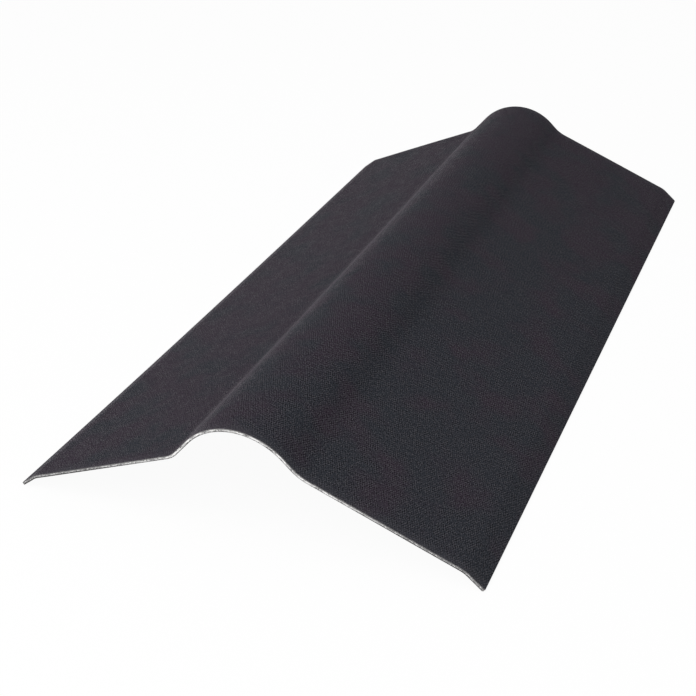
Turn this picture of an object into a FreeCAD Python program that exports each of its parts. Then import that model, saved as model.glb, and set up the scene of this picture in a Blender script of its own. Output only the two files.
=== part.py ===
"""Roof ridge cap of bitumen-saturated fibre board, pressed from one flat sheet.

The section is a half-round roll along the ridge, a straight wing down each roof slope and
a steeper drip lip along each wing's outer edge. It is the same from one end to the other.
Millimetres, +Z up, +Y along the ridge. The origin is on the floor under the middle of the
cap, which lies on the lower edges of its two lips.
"""

import FreeCAD
import Part

import math
import os

# Driving dimensions, all measured on the weather face.
LENGTH = 900.0
WIDTH = 485.0
THICKNESS = 3.0
ROLL_RADIUS = 67.0
FLANK_SLOPE = math.radians(51.5)
FLANK_LENGTH = 4.0
VALLEY_RADIUS = 52.0
WING_SLOPE = math.radians(22.0)
CREASE_RADIUS = 12.0
LIP_SLOPE = math.radians(40.0)
LIP_LENGTH = 24.0
CORNER_RADIUS = 2.0

# Two lengths closer than this are the same.
TOLERANCE = 1e-6


def wing_length():
    """Straight length of a wing: what the overall width leaves after the other stretches."""
    roll_run = ROLL_RADIUS * math.sin(FLANK_SLOPE)
    flank_run = FLANK_LENGTH * math.cos(FLANK_SLOPE)
    valley_run = VALLEY_RADIUS * (math.sin(FLANK_SLOPE) - math.sin(WING_SLOPE))
    crease_run = CREASE_RADIUS * (math.sin(LIP_SLOPE) - math.sin(WING_SLOPE))
    lip_run = LIP_LENGTH * math.cos(LIP_SLOPE)
    wing_run = WIDTH / 2 - roll_run - flank_run - valley_run - crease_run - lip_run
    return wing_run / math.cos(WING_SLOPE)


def stretches():
    """The weather face from left lip to right: (straight length, arc radius, slope at its end).

    A straight has no radius and an arc no length. Slopes are positive going up.
    """
    rise = [
        (LIP_LENGTH, None, LIP_SLOPE),
        (None, CREASE_RADIUS, WING_SLOPE),
        (wing_length(), None, WING_SLOPE),
        (None, VALLEY_RADIUS, FLANK_SLOPE),
        (FLANK_LENGTH, None, FLANK_SLOPE),
    ]
    crown = [(None, ROLL_RADIUS, -FLANK_SLOPE)]
    fall = [
        (FLANK_LENGTH, None, -FLANK_SLOPE),
        (None, VALLEY_RADIUS, -WING_SLOPE),
        (wing_length(), None, -WING_SLOPE),
        (None, CREASE_RADIUS, -LIP_SLOPE),
        (LIP_LENGTH, None, -LIP_SLOPE),
    ]
    return rise + crown + fall


def along(slope):
    """Unit vector in the section plane, going right at this slope."""
    return FreeCAD.Vector(math.cos(slope), 0, math.sin(slope))


def outward(slope):
    """Unit vector in the section plane, out of the weather face where it has this slope."""
    return FreeCAD.Vector(-math.sin(slope), 0, math.cos(slope))


def face_line(depth):
    """Edges of the section line that lies depth below the weather face, from left to right."""
    lip_tip = FreeCAD.Vector(-WIDTH / 2, 0, THICKNESS * math.cos(LIP_SLOPE))
    point = lip_tip - outward(LIP_SLOPE) * depth
    slope = LIP_SLOPE
    edges = []
    for length, radius, end_slope in stretches():
        if radius is None:
            end = point + along(slope) * length
            edges.append(Part.LineSegment(point, end).toShape())
        else:
            hollow = end_slope > slope
            reach = radius + depth if hollow else depth - radius
            centre = point + outward(slope) * reach
            middle = centre - outward((slope + end_slope) / 2) * reach
            end = centre - outward(end_slope) * reach
            edges.append(Part.Arc(point, middle, end).toShape())
        point = end
        slope = end_slope
    return edges


def lip_edge(weather_vertex, underside_vertex):
    """The cut edge of the sheet, straight through it from face to face."""
    return Part.LineSegment(weather_vertex.Point, underside_vertex.Point).toShape()


def section():
    """The closed section of the sheet, in the plane of its near end."""
    weather = face_line(0)
    underside = face_line(THICKNESS)
    left_edge = lip_edge(weather[0].Vertexes[0], underside[0].Vertexes[0])
    right_edge = lip_edge(weather[-1].Vertexes[-1], underside[-1].Vertexes[-1])
    face = Part.Face(Part.Wire(weather + [right_edge] + underside[::-1] + [left_edge]))
    face.translate(FreeCAD.Vector(0, -LENGTH / 2, 0))
    return face


def is_corner(edge):
    """True for the four short edges through the sheet at the outer corners of the lips."""
    ends = [vertex.Point for vertex in edge.Vertexes]
    at_end = all(abs(abs(point.y) - LENGTH / 2) < TOLERANCE for point in ends)
    at_lip = max(abs(point.x) for point in ends) > WIDTH / 2 - TOLERANCE
    return at_end and at_lip and abs(edge.Length - THICKNESS) < TOLERANCE


def ridge_cap():
    """The whole cap: its section drawn out along the ridge, with the sheet's four corners eased."""
    sheet = section().extrude(FreeCAD.Vector(0, LENGTH, 0))
    corners = [edge for edge in sheet.Edges if is_corner(edge)]
    return sheet.makeFillet(CORNER_RADIUS, corners)


os.makedirs("parts", exist_ok=True)
cap = ridge_cap()
cap.exportStep("parts/ridge_cap.step")
box = cap.BoundBox
print(f"size {box.XLength:.2f} x {box.YLength:.2f} x {box.ZLength:.2f} mm, base at {box.ZMin:.3f}")
print(f"volume {cap.Volume / 1000:.1f} cm3, {len(cap.Solids)} solid, valid {cap.isValid()}")
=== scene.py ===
"""Looks of the roof ridge cap: bitumen-fibre board with a dark coat, a canvas imprint and pale cut ends.

Metres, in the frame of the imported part: +Y along the ridge, +Z up, the floor at z = 0.
"""

from collections import namedtuple
import math

import bpy
import numpy as np
from mathutils import Euler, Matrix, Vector, noise


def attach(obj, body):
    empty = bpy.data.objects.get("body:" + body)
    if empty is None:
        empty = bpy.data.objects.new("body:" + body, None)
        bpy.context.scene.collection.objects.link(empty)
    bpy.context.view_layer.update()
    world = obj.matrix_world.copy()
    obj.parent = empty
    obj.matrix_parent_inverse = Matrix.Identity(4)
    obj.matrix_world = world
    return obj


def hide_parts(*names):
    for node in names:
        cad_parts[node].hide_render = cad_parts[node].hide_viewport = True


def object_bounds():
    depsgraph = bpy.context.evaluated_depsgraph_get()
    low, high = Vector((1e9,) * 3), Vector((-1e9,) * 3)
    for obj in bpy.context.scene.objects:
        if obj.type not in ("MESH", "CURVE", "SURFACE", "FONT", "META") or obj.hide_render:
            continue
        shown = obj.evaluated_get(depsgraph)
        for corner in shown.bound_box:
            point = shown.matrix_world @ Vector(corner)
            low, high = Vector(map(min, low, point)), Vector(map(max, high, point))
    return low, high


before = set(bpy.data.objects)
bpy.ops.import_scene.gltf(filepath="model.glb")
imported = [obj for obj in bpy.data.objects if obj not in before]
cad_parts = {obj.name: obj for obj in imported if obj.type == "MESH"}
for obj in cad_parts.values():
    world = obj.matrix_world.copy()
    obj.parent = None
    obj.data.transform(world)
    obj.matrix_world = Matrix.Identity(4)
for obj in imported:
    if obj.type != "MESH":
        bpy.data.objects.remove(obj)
cad_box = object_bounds()

NODE = "ridge_cap"

# The pressed board, measured on its weather face: straight lengths of flank and lip, and radii of
# valley and crease. The left foot of the roll is tighter than in the part's source, as the
# photograph shows it.
LENGTH = cad_box[1].y - cad_box[0].y
WIDTH = cad_box[1].x - cad_box[0].x
THICKNESS = 0.003
ROLL_RADIUS = 0.06783
LEFT = {"flank": 0.02187, "valley": 0.026, "crease": 0.01865, "lip": 0.0185}
RIGHT = {"flank": 0.00856, "valley": 0.04635, "crease": 0.02749, "lip": 0.0193}

# The roll's number among the stretches of the section, counted from 0 at the left lip.
ROLL = 5

# The soft board has settled a little unevenly: each side has slopes of its own, in degrees, which
# change evenly from the near end to the far one, and its left edge flares out at the near end.
NEAR_LEFT = {"flank": 47.26, "wing": 20.32, "lip": 36.43}
NEAR_RIGHT = {"flank": 47.16, "wing": 22.52, "lip": 43.04}
FAR_LEFT = {"flank": 47.59, "wing": 21.73, "lip": 37.21}
FAR_RIGHT = {"flank": 46.13, "wing": 24.3, "lip": 43.1}
MIDDLE = 0.5
FLARE = 0.00536
FLARE_POWER = 3

# The sheet's outer corners are rounded, and the rounding fades out along the sheet. Its arrises
# are eased.
CORNER_RADIUS = 0.002
CORNER_FADE = 0.008
ARRIS_RADIUS = 0.0004

# Mesh spacing. The steps at the sheet's edges are distances from the edge in arris radii.
STRAIGHT_STEP = 0.0042
BEND_STEP = 0.0022
ROW_STEP = 0.0065
EDGE_STEPS = (0.0, 0.15, 0.5, 1.0, 3.0, 6.0, 9.0, 13.0)
WALL_LAYERS = 6
SECTION_SAMPLES = 8001

# Unevenness of the sheet and of its sawn ends.
WAVE_HEIGHT = 0.0004
WAVE_LENGTH = 0.13
WAVE_FADE = 0.05
CUT_DEPTH = 0.00035
CUT_GRAIN = 0.0035

# The board's materials, by their number in its mesh.
COAT = 0
BOARD = 1
CUT = 2

# A grid over the sheet laid flat, or the border of one: places across and along the sheet, and
# distances from its nearer outer edge and from its nearer end.
Grid = namedtuple("Grid", ["across", "along", "from_side", "from_end"])


def blend(near, far, share):
    """Slopes in radians at this share of the way from the near end to the far one."""
    return {name: math.radians(near[name] + (far[name] - near[name]) * share) for name in near}


def left_inset(share):
    """How far the left edge lies inside the full width at this share of the length."""
    return FLARE * (1 - (1 - share) ** FLARE_POWER)


def straight_span(length, slope):
    """Width and drop of a straight."""
    return np.array([math.cos(slope), math.sin(slope)]) * length


def bend_span(radius, start, end):
    """Width and drop of a bend between two slopes."""
    width = abs(math.sin(end) - math.sin(start))
    drop = abs(math.cos(end) - math.cos(start))
    return np.array([width, drop]) * radius


def side_span(sizes, slopes):
    """Width of one side from the crown out, without its straight wing, and drop to its lower edge."""
    roll = bend_span(ROLL_RADIUS, 0.0, slopes["flank"])
    flank = straight_span(sizes["flank"], slopes["flank"])
    valley = bend_span(sizes["valley"], slopes["flank"], slopes["wing"])
    crease = bend_span(sizes["crease"], slopes["wing"], slopes["lip"])
    lip = straight_span(sizes["lip"], slopes["lip"])
    board = np.array([0.0, THICKNESS * math.cos(slopes["lip"])])
    return roll + flank + valley + crease + lip + board


def wing_lengths(left, right, share):
    """Straight lengths of the left and right wing, with both lips on the floor across the width."""
    left_width, left_drop = side_span(LEFT, left)
    right_width, right_drop = side_span(RIGHT, right)
    widths = [math.cos(left["wing"]), math.cos(right["wing"])]
    drops = [math.sin(left["wing"]), -math.sin(right["wing"])]
    spare_width = WIDTH - left_inset(share) - left_width - right_width
    return np.linalg.solve([widths, drops], [spare_width, right_drop - left_drop])


def straight(length, slope):
    """A straight stretch of the section: its length, and its slope at both ends."""
    return length, slope, slope


def bend(radius, start, end):
    """A bent stretch of the section: its length, and its slope at each end."""
    return radius * abs(end - start), start, end


def stretches(share):
    """Stretches of the weather face from left to right, at this share of the cap's length.

    Slopes are positive going up.
    """
    left = blend(NEAR_LEFT, FAR_LEFT, share)
    fall = blend(NEAR_RIGHT, FAR_RIGHT, share)
    left_wing, right_wing = wing_lengths(left, fall, share)
    right = {name: -slope for name, slope in fall.items()}
    return [
        straight(LEFT["lip"], left["lip"]),
        bend(LEFT["crease"], left["lip"], left["wing"]),
        straight(left_wing, left["wing"]),
        bend(LEFT["valley"], left["wing"], left["flank"]),
        straight(LEFT["flank"], left["flank"]),
        bend(ROLL_RADIUS, left["flank"], right["flank"]),
        straight(RIGHT["flank"], right["flank"]),
        bend(RIGHT["valley"], right["flank"], right["wing"]),
        straight(right_wing, right["wing"]),
        bend(RIGHT["crease"], right["wing"], right["lip"]),
        straight(RIGHT["lip"], right["lip"]),
    ]


def running_total(steps):
    """Sums of the steps so far, starting from 0."""
    return np.concatenate([[0.0], np.cumsum(steps)])


def stretch_ends(share):
    """Places along the weather face where its stretches meet, from 0 to its whole length."""
    return running_total([length for length, start, end in stretches(share)])


def crown_place():
    """Place of the roll's middle along the weather face."""
    ends = stretch_ends(MIDDLE)
    return (ends[ROLL] + ends[ROLL + 1]) / 2


def edge_distances():
    """Distances from an edge of the sheet at which the mesh is cut closely."""
    return np.array(EDGE_STEPS) * ARRIS_RADIUS


def section_places():
    """Places along the middle section's weather face, closer in the bends and at the two outer edges."""
    places = []
    at = 0.0
    for length, start, end in stretches(MIDDLE):
        step = STRAIGHT_STEP if start == end else BEND_STEP
        count = math.ceil(length / step)
        places.extend(at + length * np.arange(count) / count)
        at += length
    close = edge_distances()
    inner = [place for place in places if close[-1] < place < at - close[-1]]
    return np.concatenate([close, inner, at - close[::-1]])


def section_points(places, share):
    """Sideways place, height and slope of the weather face at these places of the middle section."""
    ends = stretch_ends(share)
    own_places = np.interp(places, stretch_ends(MIDDLE), ends)
    fine = np.linspace(0.0, ends[-1], SECTION_SAMPLES)
    end_slopes = [slope for length, start, end in stretches(share) for slope in (start, end)]
    slopes = np.interp(fine, np.repeat(ends, 2)[1:-1], end_slopes)
    middle = (slopes[1:] + slopes[:-1]) / 2
    step = fine[1]
    left_edge = left_inset(share) - WIDTH / 2
    x = running_total(np.cos(middle) * step) + left_edge
    z = running_total(np.sin(middle) * step) + THICKNESS * math.cos(slopes[0])
    return [np.interp(own_places, fine, values) for values in (x, z, slopes)]


def row_places():
    """Places along the ridge, from end to end, closer at the ends."""
    close = edge_distances()
    span = LENGTH - 2 * close[-1]
    count = math.ceil(span / ROW_STEP)
    inner = close[-1] + span * np.arange(1, count) / count
    return np.concatenate([close, inner, LENGTH - close[::-1]]) - LENGTH / 2


def sheet_grid():
    """The whole sheet as a grid."""
    places = section_places()
    across, along = np.meshgrid(places, row_places(), indexing="ij")
    from_side = np.minimum(across, places[-1] - across)
    from_end = LENGTH / 2 - np.abs(along)
    return Grid(across, along, from_side, from_end)


def rounding(distance, radius):
    """How far an edge rounded to this radius falls back, this far in from the edge."""
    share = np.clip(1 - distance / radius, 0, 1)
    return radius * (1 - np.sqrt(1 - share ** 2))


def smoothstep(share):
    """Smooth rise from 0 to 1, level at both ends."""
    return share * share * (3 - 2 * share)


def sheet_wave(grid):
    """Slow unevenness of the sheet, fading to nothing at its outer edges."""
    places = zip(grid.across.ravel() / WAVE_LENGTH, grid.along.ravel() / WAVE_LENGTH)
    field = [noise.noise(Vector((across, along, 0.0))) for across, along in places]
    fade = np.clip(grid.from_side / WAVE_FADE, 0, 1)
    return WAVE_HEIGHT * np.reshape(field, fade.shape) * smoothstep(fade)


def sheet_vertices(grid, depth):
    """Vertices of the sheet's grid at this depth under the weather face."""
    shares = grid.along[0] / LENGTH + MIDDLE
    sections = [section_points(grid.across[:, 0], share) for share in shares]
    x, z, slope = np.array(sections).transpose(1, 2, 0)
    lift = sheet_wave(grid) - depth
    corner_share = np.clip(1 - grid.from_end / CORNER_FADE, 0, 1)
    pull = rounding(grid.from_side, CORNER_RADIUS) * corner_share
    px = x - np.sin(slope) * lift
    py = grid.along - np.sign(grid.along) * pull
    pz = z + np.cos(slope) * lift
    return np.stack([px, py, pz], axis=-1).reshape(-1, 3)


def border_loop(count_across, count_along):
    """Grid indices round the sheet's edge, starting along the near end."""
    index = np.arange(count_across * count_along).reshape(count_across, count_along)
    return np.concatenate([index[:-1, 0], index[-1, :-1], index[:0:-1, -1], index[0, :0:-1]])


def wall_depths(count):
    """Depth under the weather face of each ring of this many vertices round the sheet's edge."""
    return [np.full(count, THICKNESS * layer / WALL_LAYERS) for layer in range(1, WALL_LAYERS)]


def saw_marks(border, depth):
    """How deep the saw went into each point of the ends, never outside the sheet's length."""
    points = zip(border.across / CUT_GRAIN, border.along / CUT_GRAIN, depth / THICKNESS)
    marks = CUT_DEPTH * np.array([abs(noise.noise(Vector(point))) for point in points])
    return marks * (border.from_end < ARRIS_RADIUS / 2)


def wall_vertices(top, bottom, border):
    """Rings of vertices through the thickness, roughened on the sawn ends."""
    rings = []
    for depth in wall_depths(len(top)):
        x, y, z = (top + (bottom - top) * (depth / THICKNESS)[:, np.newaxis]).T
        sawn = y - np.sign(y) * saw_marks(border, depth)
        rings.append(np.stack([x, sawn, z], axis=-1))
    return rings


def grid_faces(count_across, count_along, first):
    """Quads of a grid whose vertices start at first."""
    index = first + np.arange(count_across * count_along).reshape(count_across, count_along)
    corners = [index[:-1, :-1], index[1:, :-1], index[1:, 1:], index[:-1, 1:]]
    return np.stack(corners, axis=-1).reshape(-1, 4)


def wall_faces(loop, count):
    """Quads of the sheet's edge, from the border of the weather face down to that of the underside."""
    ring = 2 * count + np.arange(len(loop))
    rings = [ring + len(loop) * layer for layer in range(WALL_LAYERS - 1)]
    levels = [loop] + rings + [loop + count]
    quads = []
    for upper, lower in zip(levels, levels[1:]):
        quads.append(np.stack([upper, lower, np.roll(lower, -1), np.roll(upper, -1)], axis=-1))
    return np.concatenate(quads)


def wall_materials(border):
    """Materials of the edge's quads: cut fibre at the sawn ends and bare board along the sides."""
    at_end = border.from_end + np.roll(border.from_end, -1) < ARRIS_RADIUS
    return np.tile(np.where(at_end, CUT, BOARD), WALL_LAYERS)


def developed_points(grid, border, eased):
    """Each vertex on the sheet laid flat: its place across, along and under the weather face."""
    layers = [(grid.across, grid.along, depth) for depth in (eased, THICKNESS - eased)]
    layers += [(border.across, border.along, depth) for depth in wall_depths(len(border.across))]
    return np.concatenate([np.stack(layer, axis=-1).reshape(-1, 3) for layer in layers])


def board_mesh():
    """The board as one closed mesh: vertices, faces, their materials and the developed points."""
    grid = sheet_grid()
    shape = grid.across.shape
    loop = border_loop(*shape)
    border = Grid(*[values.ravel()[loop] for values in grid])
    eased = np.maximum(rounding(grid.from_side, ARRIS_RADIUS), rounding(grid.from_end, ARRIS_RADIUS))
    weather = sheet_vertices(grid, eased)
    underside = sheet_vertices(grid, THICKNESS - eased)
    rings = wall_vertices(weather[loop], underside[loop], border)
    vertices = np.concatenate([weather, underside] + rings)
    coated = grid_faces(*shape, 0)
    bare = grid_faces(*shape, len(weather))[:, ::-1]
    faces = np.concatenate([coated, bare, wall_faces(loop, len(weather))])
    sheet_materials = np.repeat([COAT, BOARD], len(coated))
    materials = np.concatenate([sheet_materials, wall_materials(border)])
    return vertices, faces, materials, developed_points(grid, border, eased)


def add_board(materials):
    """The board as an object, with its developed coordinates kept for the materials."""
    vertices, faces, face_materials, developed = board_mesh()
    mesh = bpy.data.meshes.new("ridge_cap_board")
    mesh.from_pydata(vertices.tolist(), [], faces.tolist())
    for material in materials:
        mesh.materials.append(material)
    mesh.polygons.foreach_set("material_index", face_materials.astype(np.int32))
    mesh.polygons.foreach_set("use_smooth", np.ones(len(faces), dtype=bool))
    sheet = mesh.attributes.new("sheet", "FLOAT_VECTOR", "POINT")
    sheet.data.foreach_set("vector", developed.astype(np.float32).ravel())
    mesh.update()
    board = bpy.data.objects.new("ridge_cap_board", mesh)
    bpy.context.scene.collection.objects.link(board)
    return board


# The canvas that marks both faces: pitches of its threads across and along the sheet, how many
# pitches they wander, and the noise that they follow.
THREAD_PITCHES = (0.0012, 0.0024)
THREAD_WANDER = 1.5
WANDER = {"size": 0.0288, "detail": 2.0}

# Colour sockets of the Mix node, by their number among all its sockets.
MIX_FIRST = 6
MIX_SECOND = 7
MIX_RESULT = 2


class Shader:
    """A material under construction: adds nodes and links with few words."""

    def __init__(self, name):
        """A new material, with the developed sheet's coordinates at hand."""
        self.material = bpy.data.materials.new(name)
        self.material.use_nodes = True
        self.nodes = self.material.node_tree.nodes
        self.links = self.material.node_tree.links
        self.surface = self.nodes["Principled BSDF"]
        self.sheet = self.add("ShaderNodeAttribute", attribute_name="sheet").outputs["Vector"]
        parts = self.add("ShaderNodeSeparateXYZ")
        self.put(parts.inputs[0], self.sheet)
        self.across, self.along, self.depth = parts.outputs

    def add(self, kind, **settings):
        """A new node with these settings."""
        made = self.nodes.new(kind)
        for name, value in settings.items():
            setattr(made, name, value)
        return made

    def put(self, socket, value):
        """Links an output to this input, or sets the input to a plain value."""
        if isinstance(value, bpy.types.NodeSocket):
            self.links.new(value, socket)
        else:
            socket.default_value = value

    def set_surface(self, values):
        """Links or sets these inputs of the surface."""
        for name, value in values.items():
            self.put(self.surface.inputs[name], value)

    def math(self, operation, first, second=0.0, third=0.0):
        """The result of this operation on outputs or numbers."""
        made = self.add("ShaderNodeMath", operation=operation)
        for socket, value in zip(made.inputs, (first, second, third)):
            self.put(socket, value)
        return made.outputs[0]

    def noise(self, size, detail, stretch=(1.0, 1.0, 1.0)):
        """Noise over the developed sheet, with features of about this size in metres."""
        scaled = self.add("ShaderNodeVectorMath", operation="MULTIPLY")
        self.put(scaled.inputs[0], self.sheet)
        scaled.inputs[1].default_value = stretch
        made = self.add("ShaderNodeTexNoise")
        self.put(made.inputs["Vector"], scaled.outputs[0])
        made.inputs["Scale"].default_value = 1 / size
        made.inputs["Detail"].default_value = detail
        return made.outputs["Fac"]

    def ramp(self, value, span, result=(0.0, 1.0)):
        """A smooth step from the first result to the second, as the value crosses the span."""
        made = self.add("ShaderNodeMapRange", interpolation_type="SMOOTHSTEP")
        for socket, number in zip(made.inputs, (value, *span, *result)):
            self.put(socket, number)
        return made.outputs[0]

    def mix(self, share, first, second):
        """The first colour, with this share of the second."""
        made = self.add("ShaderNodeMix", data_type="RGBA")
        self.put(made.inputs["Factor"], share)
        self.put(made.inputs[MIX_FIRST], first)
        self.put(made.inputs[MIX_SECOND], second)
        return made.outputs[MIX_RESULT]

    def bump(self, height, distance, strength):
        """Gives the surface a fine relief."""
        made = self.add("ShaderNodeBump")
        self.put(made.inputs["Height"], height)
        made.inputs["Distance"].default_value = distance
        made.inputs["Strength"].default_value = strength
        self.put(self.surface.inputs["Normal"], made.outputs["Normal"])

    def weave(self):
        """Knuckles of a plain weave, from -1 to 1, with slightly wandering threads."""
        wander = self.noise(**WANDER)
        waves = []
        for place, pitch in zip((self.across, self.along), THREAD_PITCHES):
            wandering = self.math("MULTIPLY_ADD", wander, THREAD_WANDER * pitch, place)
            waves.append(self.math("SINE", self.math("MULTIPLY", wandering, math.pi / pitch)))
        return self.math("MULTIPLY", *waves)


# The weather coat. A SPAN is of the noise or the measure that it goes with, and a SHARE is what
# that gives at the span's two ends.
COAT_BLUE = (0.0232, 0.0259, 0.0328, 1.0)
COAT_PLUM = (0.0318, 0.024, 0.034, 1.0)
CLOUD = {"size": 0.055, "detail": 3.0}
CLOUD_SPAN = (0.33, 0.57)
# Painted cool light: the tint clouds turn bluer on the right half towards the near end, where the light
# falls cooler.
COOL_LIGHT_RIGHT_SPAN = (-0.05, 0.1)
COOL_LIGHT_NEAR_SPAN = (0.0, 0.35)
COOL_LIGHT_NEAR_SHARE = (1.0, 0.0)
COOL_LIGHT_SHIFT = -0.12

IMPRINT = {"size": 0.014, "detail": 3.0}
IMPRINT_SPAN = (0.36, 0.62)
IMPRINT_SHARE = (0.3, 1.0)
GRAIN = {"size": 0.0011, "detail": 1.0, "stretch": (1.0, 0.5, 1.0)}
GRAIN_SPAN = (0.3, 0.7)
GRAIN_SHARE = (-0.7, 0.7)
COAT_BUMP = {"distance": 0.0002, "strength": 0.7}

COAT_RAISED = (0.066, 0.063, 0.073, 1.0)
RAISED_SPAN = (0.1, 1.0)
# Painted shade: the imprint's sunk places are darkened as shade would darken them; the raised places are
# rubbed paler.
COAT_SUNK_SHADE = (0.0068, 0.0063, 0.0078, 1.0)
SUNK_SHADE_SPAN = (-0.1, -1.0)
COAT_SPECK = (0.15, 0.15, 0.155, 1.0)
SPECKS = {"size": 0.0011, "detail": 0.0}
SPECK_SPAN = (0.7, 0.76)
SPECK_SHARE = (0.0, 0.5)

RUBBED_SPAN = (0.0, 0.014)
RUBBED_SHARE = (0.32, 0.0)
EDGE_WEAR = (0.2, 0.195, 0.195, 1.0)
WEAR = {"size": 0.002, "detail": 2.0}
WEAR_REACH = -0.0022
WEAR_SPAN = (0.0, -0.0008)

GLOSS = {"size": 0.03, "detail": 3.0}
GLOSS_SPAN = (0.3, 0.7)
COAT_ROUGHNESS = (0.78, 0.84)
COAT_SPECULAR = 0.04
SHEEN_WEIGHT = 0.33
SHEEN_TINT = (1.0, 0.92, 1.0, 1.0)
SHEEN_ROUGHNESS = 0.1


def right_of_crown(shader):
    """Distance along the section from the crown, positive to the right."""
    return shader.math("SUBTRACT", shader.across, crown_place())


def coat_tint(shader):
    """Clouds of blue and plum, with a painted cool light tint: bluer on the right half towards the near
    end.
    """
    on_right = shader.ramp(right_of_crown(shader), COOL_LIGHT_RIGHT_SPAN)
    towards_near = shader.ramp(shader.along, COOL_LIGHT_NEAR_SPAN, COOL_LIGHT_NEAR_SHARE)
    bluer = shader.math("MULTIPLY", on_right, towards_near)
    cloud = shader.math("MULTIPLY_ADD", bluer, COOL_LIGHT_SHIFT, shader.noise(**CLOUD))
    return shader.mix(shader.ramp(cloud, CLOUD_SPAN), COAT_BLUE, COAT_PLUM)


def coat_relief(shader):
    """Canvas imprint, deeper in some places than in others, with irregular grain."""
    imprint = shader.ramp(shader.noise(**IMPRINT), IMPRINT_SPAN, IMPRINT_SHARE)
    knuckles = shader.math("MULTIPLY", shader.weave(), imprint)
    grain = shader.ramp(shader.noise(**GRAIN), GRAIN_SPAN, GRAIN_SHARE)
    return shader.math("ADD", knuckles, grain)


def woven_tint(shader, relief):
    """The coat's tint, rubbed paler where the relief is raised, with painted shade where it is sunk, and
    pale specks.
    """
    raised = shader.mix(shader.ramp(relief, RAISED_SPAN), coat_tint(shader), COAT_RAISED)
    woven = shader.mix(shader.ramp(relief, SUNK_SHADE_SPAN), raised, COAT_SUNK_SHADE)
    specks = shader.ramp(shader.noise(**SPECKS), SPECK_SPAN, SPECK_SHARE)
    return shader.mix(specks, woven, COAT_SPECK)


def worn_tint(shader, tint):
    """The tint rubbed paler near the ends, and worn through along their arrises."""
    from_end = shader.math("SUBTRACT", LENGTH / 2, shader.math("ABSOLUTE", shader.along))
    rubbed = shader.mix(shader.ramp(from_end, RUBBED_SPAN, RUBBED_SHARE), tint, COAT_RAISED)
    ragged = shader.math("MULTIPLY_ADD", shader.noise(**WEAR), WEAR_REACH, from_end)
    return shader.mix(shader.ramp(ragged, WEAR_SPAN), rubbed, EDGE_WEAR)


def coat_material():
    """Dark matt coat of the weather face, with a canvas imprint, tint clouds with a painted cool light
    tint, painted shade in the imprint's recesses, and pale specks.
    """
    shader = Shader("weather_coat")
    relief = coat_relief(shader)
    shader.set_surface({
        "Base Color": worn_tint(shader, woven_tint(shader, relief)),
        "Roughness": shader.ramp(shader.noise(**GLOSS), GLOSS_SPAN, COAT_ROUGHNESS),
        "Specular IOR Level": COAT_SPECULAR,
        "Sheen Weight": SHEEN_WEIGHT,
        "Sheen Tint": SHEEN_TINT,
        "Sheen Roughness": SHEEN_ROUGHNESS,
    })
    shader.bump(relief, **COAT_BUMP)
    return shader.material


# The bare board.
BOARD_DARK = (0.016, 0.0135, 0.012, 1.0)
BOARD_BROWN = (0.034, 0.028, 0.024, 1.0)
SOAK = {"size": 0.03, "detail": 4.0}
SOAK_SPAN = (0.35, 0.65)
BOARD_FIBRE = (0.085, 0.074, 0.064, 1.0)
STRANDS = {"size": 0.0012, "detail": 2.0, "stretch": (1.0, 0.12, 1.0)}
STRAND_SPAN = (0.62, 0.76)
STRAND_SHARE = (0.0, 0.6)
STRAND_HEIGHT = 1.2
BOARD_BUMP = {"distance": 0.00018, "strength": 0.5}
WHOLE_SPAN = (0.0, 1.0)
BOARD_ROUGHNESS = (0.78, 0.88)
BOARD_SPECULAR = 0.12


def board_material():
    """Uncoated bitumen board of the underside and the long edges, with faint fibres."""
    shader = Shader("bitumen_board")
    soak = shader.ramp(shader.noise(**SOAK), SOAK_SPAN)
    tint = shader.mix(soak, BOARD_DARK, BOARD_BROWN)
    strands = shader.noise(**STRANDS)
    fibre = shader.ramp(strands, STRAND_SPAN, STRAND_SHARE)
    shader.set_surface({
        "Base Color": shader.mix(fibre, tint, BOARD_FIBRE),
        "Roughness": shader.ramp(soak, WHOLE_SPAN, BOARD_ROUGHNESS),
        "Specular IOR Level": BOARD_SPECULAR,
    })
    relief = shader.math("MULTIPLY_ADD", strands, STRAND_HEIGHT, shader.weave())
    shader.bump(relief, **BOARD_BUMP)
    return shader.material


# The sawn ends. The paleness at the roll and SOAKED go by the distance from the crown along the section,
# and the lower arris by the depth under the weather face.
FIBRE_PALE = (0.94, 0.93, 0.92, 1.0)
FIBRE_GREY = (0.2, 0.198, 0.202, 1.0)
MOTTLE = {"size": 0.0045, "detail": 3.0, "stretch": (0.5, 1.0, 1.0)}
MOTTLE_SPAN = (0.35, 0.62)
# The torn fibre is palest at the roll and greyer towards the lips.
ROLL_PALE_SPAN = (0.07, 0.2)
ROLL_PALE_SHARE = (1.0, 0.15)
TORN = {"size": 0.0013, "detail": 1.0, "stretch": (0.7, 1.0, 1.0)}
TORN_SPAN = (0.5, 0.62)
TORN_SHARE = (0.0, 0.6)

FIBRE_SOAKED = (0.055, 0.052, 0.052, 1.0)
FLECKS = {"size": 0.0016, "detail": 2.0, "stretch": (0.6, 1.0, 1.0)}
FLECK_SPAN = (0.57, 0.68)
FLECK_SHARE = (0.0, 0.85)
SOAKED_SPAN = (0.1, 0.22)
SOAKED_DEPTH = (0.0, 0.0006)
RAGGED = {"size": 0.003, "detail": 2.0}
RAGGED_DEPTH = 0.0006
LOWER_SPAN = (0.0024, 0.0031)

CUT_ROUGHNESS = 0.85
CUT_SPECULAR = 0.25
CUT_RELIEF = {"size": 0.0007, "detail": 3.0}
CUT_BUMP = {"distance": 0.0004, "strength": 0.7}


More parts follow.
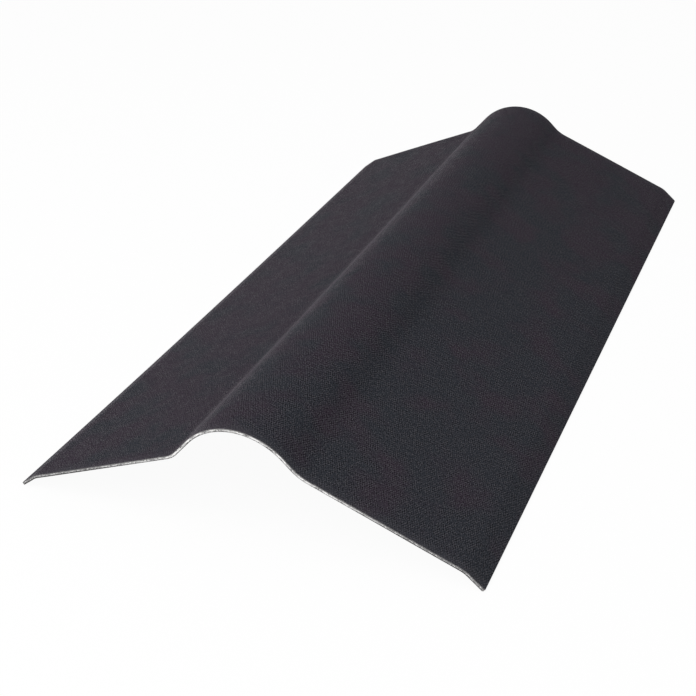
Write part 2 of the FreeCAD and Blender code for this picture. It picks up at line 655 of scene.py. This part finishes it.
def torn_tint(shader, from_crown):
    """Pale torn fibre, palest at the roll and greyer towards the lips, with dark flecks."""
    mottle = shader.ramp(shader.noise(**MOTTLE), MOTTLE_SPAN)
    roll_paleness = shader.ramp(from_crown, ROLL_PALE_SPAN, ROLL_PALE_SHARE)
    tint = shader.mix(shader.math("MULTIPLY", mottle, roll_paleness), FIBRE_GREY, FIBRE_PALE)
    strands = shader.ramp(shader.noise(**TORN), TORN_SPAN, TORN_SHARE)
    torn = shader.mix(strands, tint, FIBRE_PALE)
    flecks = shader.ramp(shader.noise(**FLECKS), FLECK_SPAN, FLECK_SHARE)
    return shader.mix(flecks, torn, FIBRE_SOAKED)


def lower_arris(shader, from_crown):
    """Share of the dark, ragged band along the lower arris, which widens towards the lips."""
    soaked = shader.ramp(from_crown, SOAKED_SPAN, SOAKED_DEPTH)
    depth = shader.math("ADD", shader.depth, soaked)
    ragged = shader.math("MULTIPLY_ADD", shader.noise(**RAGGED), RAGGED_DEPTH, depth)
    return shader.ramp(ragged, LOWER_SPAN)


def cut_material():
    """Sawn ends: pale torn fibre, flecked, and darker along the lower arris."""
    shader = Shader("cut_fibre")
    from_crown = shader.math("ABSOLUTE", right_of_crown(shader))
    tint = torn_tint(shader, from_crown)
    shader.set_surface({
        "Base Color": shader.mix(lower_arris(shader, from_crown), tint, FIBRE_SOAKED),
        "Roughness": CUT_ROUGHNESS,
        "Specular IOR Level": CUT_SPECULAR,
    })
    shader.bump(shader.noise(**CUT_RELIEF), **CUT_BUMP)
    return shader.material


# The studio: a floor that shows as nearly white, a white surround and two softboxes.
FLOOR_HALF = 15.0
FLOOR_COLOUR = (0.9, 0.9, 0.9, 1.0)
FLOOR_ROUGHNESS = 0.9
FLOOR_SPECULAR = 0.0
FLOOR_SELF_WHITE = 0.95
SURROUND_LEVEL = 0.42
WHITE_LEVEL = 1.0
WHITE = (1.0, 1.0, 1.0, 1.0)
KEY = {"place": (-1.0, -1.1, 2.2), "size": 2.0, "power": 38.0}
FILL = {"place": (0.8, -2.2, 1.6), "size": 1.8, "power": 19.0}

# Camera, fitted to the photograph's outline.
CAMERA_PLACE = (0.49433, -1.26639, 0.7273)
CAMERA_TURN = (60.6045, 2.6396, 22.8839)
CAMERA_LENS = 65.3515
SENSOR = 36.0


def seen_directly(tree):
    """1 for camera, glossy and transmission rays, and 0 for the rays that light the object."""
    rays = tree.nodes.new("ShaderNodeLightPath")
    total = rays.outputs["Is Camera Ray"]
    for name in ("Is Glossy Ray", "Is Transmission Ray"):
        larger = tree.nodes.new("ShaderNodeMath")
        larger.operation = "MAXIMUM"
        tree.links.new(total, larger.inputs[0])
        tree.links.new(rays.outputs[name], larger.inputs[1])
        total = larger.outputs[0]
    return total


def floor_material():
    """Pale floor that shows nearly white but keeps a light shadow."""
    material = bpy.data.materials.new("studio_floor")
    material.use_nodes = True
    tree = material.node_tree
    surface = tree.nodes["Principled BSDF"]
    surface.inputs["Base Color"].default_value = FLOOR_COLOUR
    surface.inputs["Roughness"].default_value = FLOOR_ROUGHNESS
    surface.inputs["Specular IOR Level"].default_value = FLOOR_SPECULAR
    glow = tree.nodes.new("ShaderNodeEmission")
    share = tree.nodes.new("ShaderNodeMath")
    share.operation = "MULTIPLY"
    tree.links.new(seen_directly(tree), share.inputs[0])
    share.inputs[1].default_value = FLOOR_SELF_WHITE
    mixed = tree.nodes.new("ShaderNodeMixShader")
    tree.links.new(share.outputs[0], mixed.inputs[0])
    tree.links.new(surface.outputs[0], mixed.inputs[1])
    tree.links.new(glow.outputs[0], mixed.inputs[2])
    tree.links.new(mixed.outputs[0], tree.nodes["Material Output"].inputs["Surface"])
    return material


def add_floor():
    """A wide plain floor under the cap."""
    corners = [(-1, -1), (1, -1), (1, 1), (-1, 1)]
    mesh = bpy.data.meshes.new("floor")
    mesh.from_pydata([(x * FLOOR_HALF, y * FLOOR_HALF, 0.0) for x, y in corners], [], [(0, 1, 2, 3)])
    mesh.materials.append(floor_material())
    floor = bpy.data.objects.new("floor", mesh)
    bpy.context.scene.collection.objects.link(floor)


def set_surround():
    """White surround that lights the object softly at a plain level."""
    world = bpy.data.worlds.new("studio")
    world.use_nodes = True
    tree = world.node_tree
    background = tree.nodes["Background"]
    background.inputs["Color"].default_value = WHITE
    level = tree.nodes.new("ShaderNodeMapRange")
    tree.links.new(seen_directly(tree), level.inputs["Value"])
    level.inputs["To Min"].default_value = SURROUND_LEVEL
    level.inputs["To Max"].default_value = WHITE_LEVEL
    tree.links.new(level.outputs[0], background.inputs["Strength"])
    bpy.context.scene.world = world


def add_softbox(name, place, size, power):
    """A square softbox that points at the cap."""
    data = bpy.data.lights.new(name, "AREA")
    data.shape = "SQUARE"
    data.size = size
    data.energy = power
    lamp = bpy.data.objects.new(name, data)
    lamp.location = place
    lamp.rotation_euler = (-Vector(place)).to_track_quat("-Z", "Y").to_euler()
    bpy.context.scene.collection.objects.link(lamp)


def add_lights():
    """A large softbox up on the left, towards the near end, and a weaker one in front."""
    add_softbox("key", **KEY)
    add_softbox("fill", **FILL)


def add_camera():
    """The photograph's camera."""
    data = bpy.data.cameras.new("camera")
    data.sensor_width = SENSOR
    data.lens = CAMERA_LENS
    camera = bpy.data.objects.new("camera", data)
    camera.location = CAMERA_PLACE
    camera.rotation_euler = Euler([math.radians(turn) for turn in CAMERA_TURN], "XYZ")
    bpy.context.scene.collection.objects.link(camera)
    bpy.context.scene.camera = camera


bpy.context.scene.view_settings.view_transform = "Standard"
cap = add_board([coat_material(), board_material(), cut_material()])
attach(cap, "root")
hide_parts(NODE)
add_floor()
set_surround()
add_lights()
add_camera()
